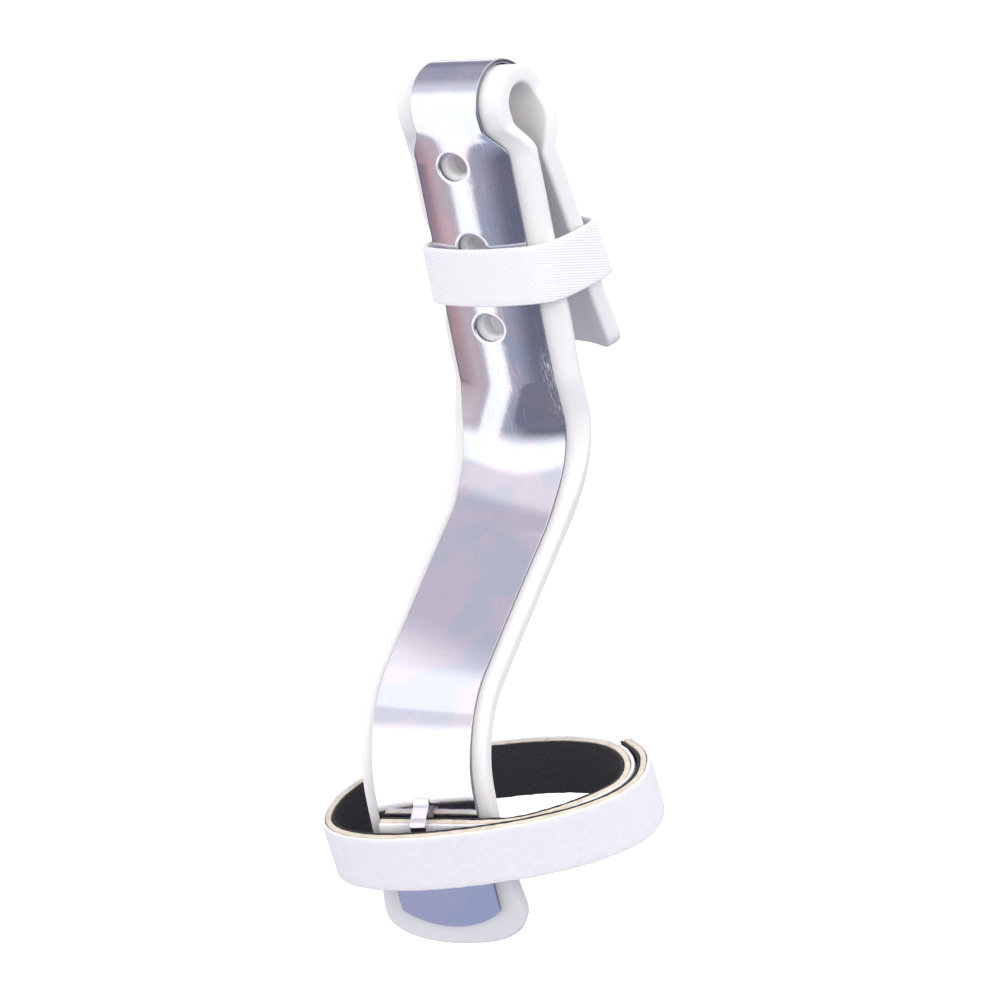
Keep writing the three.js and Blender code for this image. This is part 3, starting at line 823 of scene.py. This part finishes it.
cream = new_finish("cream_backing")
cream_place = cream.flat_place()
knit = cream.noise(cream_place, 4.0, 3)
stain = cream.noise(cream_place, 0.4, 3)
cream.surface(
    Base_Color=cream.mix(stain.step(0.4, 0.7), (0.80, 0.72, 0.60), (0.68, 0.59, 0.46)),
    Roughness=0.85 + knit * 0.1,
    Normal=cream.bump(knit, 0.0001, 0.6),
)
finished(backing, cream, "strap_backing", "wrist_strap_backing")

hooked = new_finish("black_hooks")
hook_place = hooked.flat_place()
hook_rows = hooked.add("ShaderNodeTexVoronoi", {}, Vector=hook_place, Scale=1.6, Randomness=0.35)
lint_caught = hooked.noise(hook_place, 2.0, 4)
hooked.surface(
    Base_Color=hooked.mix(lint_caught.step(0.55, 0.75) * 0.5, (0.028, 0.026, 0.030),
                          (0.11, 0.10, 0.10)),
    Roughness=0.6 + lint_caught * 0.3,
    Normal=hooked.bump(hook_rows.step(0.4, 0.1), 0.0003, 0.8),
)
finished(hooks, hooked, "hook_layer", "wrist_strap_hooks")

# Studio.
# A pale floor well below the splint, which is worn and doesn't stand, a glowing white room round
# it, a sky and three cards that only the metal shows, soft lights, and the photograph's camera.
floor_height, room_radius = -0.42, 6
pick_only()
bpy.ops.mesh.primitive_circle_add(vertices=96, radius=room_radius, fill_type="NGON",
                                  location=(0, 0, floor_height))
floor = bpy.context.object
floor.name = "studio_floor"
pale = new_finish("pale_floor")
pale.surface(Base_Color=(0.8, 0.8, 0.81), Roughness=0.9, Emission_Color=(1, 1, 1),
             Emission_Strength=0.75)
floor.data.materials.append(pale.owner)
pick_only()
bpy.ops.mesh.primitive_uv_sphere_add(segments=48, ring_count=24, radius=room_radius,
                                     location=(0, 0, floor_height))
room = bpy.context.object
room.name = "studio_room"
glowing = new_finish("pale_room")
glow = glowing.nodes.new("ShaderNodeEmission")
glow.inputs["Color"].default_value = (1, 1, 1, 1)
glowing.tree.links.new(glow.outputs[0], glowing.nodes["Material Output"].inputs["Surface"])
room.data.materials.append(glowing.owner)
for stage_piece in (floor, room):
    stage_piece.visible_glossy = False
floor.visible_diffuse = room.visible_diffuse = room.visible_shadow = False

studio = Finish(bpy.data.worlds.new("soft_studio"))
bpy.context.scene.world = studio.owner
outlook = studio.add("ShaderNodeTexCoord", {}, output=0)
heading = studio.add("ShaderNodeSeparateXYZ", {}, outlook)
east, north, height = (Value(studio, heading.socket.node.outputs[k]) for k in range(3))
azimuth = east.math("ARCTAN2", north * -1) * (180 / math.pi)
elevation = height.math("ARCSINE") * (180 / math.pi)


def band(value, low, high, soft):
    return value.step(low - soft, low + soft) * value.step(high + soft, high - soft)


# Azimuths run from the palm side to the right. Below the horizon, from the left: a dark corner,
# a warm side, a tall white card, a blue-grey and then a dark side, all over a blue-grey floor.
white_wall, dark_side, dim_ceiling = (1.35, 1.35, 1.35), (0.17, 0.175, 0.235), (0.60, 0.59, 0.68)
walls = studio.mix(azimuth.step(-23, -4), (0.41, 0.42, 0.52), dark_side)
warm = studio.mix(azimuth.step(-60, -74), (0.64, 0.52, 0.55), (0.52, 0.37, 0.38))
warm_shade = azimuth.step(-68, -75) * band(elevation, -13, -11.2, 0.6)
warm = studio.mix(warm_shade, warm, (0.20, 0.18, 0.26))
walls = studio.mix(azimuth.step(-46, -54), walls, warm)
walls = studio.mix(band(azimuth, -49, -30, 1.5), walls, (1.32, 1.32, 1.32))
walls = studio.mix(azimuth.step(-77, -86), walls, (0.17, 0.16, 0.24))
walls = studio.mix(elevation.step(-31, -41), walls, (0.38, 0.43, 0.62))
# Above it: a white wall in front, darker towards the left, and a ceiling that dims overhead.
sky = studio.mix(elevation.step(30, 40), white_wall, (0.90, 0.89, 0.95))
sky = studio.mix(elevation.step(60, 73), sky, dim_ceiling)
behind = studio.mix(elevation.step(42, 30), (0.42, 0.43, 0.52), (0.29, 0.30, 0.39))
sky = studio.mix(azimuth.step(-48, -90) * band(elevation, 14, 58, 6), sky, behind)
sky = studio.mix(elevation.step(-9, 11), walls, sky)
studio_light = studio.nodes["Background"]
studio.join(studio_light.inputs["Color"], sky)
studio_light.inputs["Strength"].default_value = 1.0


def direction(azimuth, elevation):
    """The direction towards an azimuth and an elevation in degrees."""
    a, e = math.radians(azimuth), math.radians(elevation)
    return Vector((math.sin(a) * math.cos(e), -math.cos(a) * math.cos(e), math.sin(e)))


def soft_light(name, azimuth, elevation, distance, size, power, colour):
    """A rectangular light turned to the splint's middle, which the metal doesn't show."""
    data = bpy.data.lights.new(name, "AREA")
    data.shape, data.size, data.size_y = "RECTANGLE", *size
    data.energy, data.color = power, colour
    light = bpy.data.objects.new(name, data)
    back = direction(azimuth, elevation)
    light.location = splint_middle + back * distance
    light.rotation_euler = back.to_track_quat("Z", "Y").to_euler()
    light.visible_glossy = False
    bpy.context.collection.objects.link(light)


def card(name, place, tilt, size, axis, low, high, near, far):
    """A glowing card that only the metal shows, fading from one colour to another across it."""
    pick_only()
    bpy.ops.mesh.primitive_plane_add(size=1, location=place, rotation=(tilt, 0, 0))
    sheet = bpy.context.object
    sheet.name, sheet.scale = name, (*size, 1)
    lit = new_finish(name)
    spot = lit.add("ShaderNodeSeparateXYZ", {}, lit.object_place(), output=axis)
    lit.surface(Base_Color=(0, 0, 0), Roughness=1.0, Emission_Strength=1.0,
                Emission_Color=lit.mix(spot.step(low, high), near, far))
    sheet.data.materials.append(lit.owner)
    sheet.visible_camera = sheet.visible_diffuse = sheet.visible_shadow = False


# One card stands in front of the wrist end and whitens it. One lies over the heel bend, pale in
# front and dim at the back, under a dark one that hides both cards from the knuckle bend.
across_card, along_card, upright = 0, 1, math.pi / 2
heel_place, heel_size, shade_gap = Vector((0.004, -0.056, -0.055)), (0.044, 0.060), 0.0002
card("wrist_card", (-0.002, -0.10, -0.113), upright, (0.056, 0.066), across_card, 0.42, 0.5,
     white_wall, (0.95, 0.95, 1.0))
card("heel_card", heel_place, 0, heel_size, along_card, 0.183, -0.088,
     dim_ceiling, (1.2, 1.2, 1.24))
card("heel_shade", heel_place + Vector((0, 0, shade_gap)), 0, heel_size, along_card, -0.5, 0.5,
     dark_side, dark_side)

splint_middle = Vector((0, -0.02, -0.045))
soft_light("key_light", -35, 50, 1.2, (0.8, 0.8), 2.6, (1, 1, 1))
soft_light("side_light", 80, 20, 1.4, (0.9, 0.9), 6.5, (1, 0.985, 0.97))
soft_light("low_light", 15, -25, 1.2, (0.9, 0.9), 2, (1, 1, 1))
soft_light("rear_light", 170, 45, 1.4, (0.8, 0.8), 3, (1, 1, 1))

camera_azimuth, camera_elevation, camera_roll, camera_distance = 40.21, 14.8, -11.39, 1.1
camera_aim = Vector((0, -face_in_front, -0.030))
camera_data = bpy.data.cameras.new("photo_camera")
camera_data.lens, camera_data.sensor_width = 190.08, 36
camera_data.shift_y = -0.11385
camera = bpy.data.objects.new("photo_camera", camera_data)
back, level = direction(camera_azimuth, camera_elevation), direction(camera_azimuth + 90, 0)
plumb = back.cross(level)
roll = math.radians(camera_roll)
right = level * math.cos(roll) + plumb * math.sin(roll)
up = plumb * math.cos(roll) - level * math.sin(roll)
turned = Matrix((right, up, back)).transposed().to_4x4()
camera.matrix_world = Matrix.Translation(camera_aim + back * camera_distance) @ turned
bpy.context.collection.objects.link(camera)
bpy.context.scene.camera = camera
bpy.context.scene.view_settings.view_transform = "Standard"
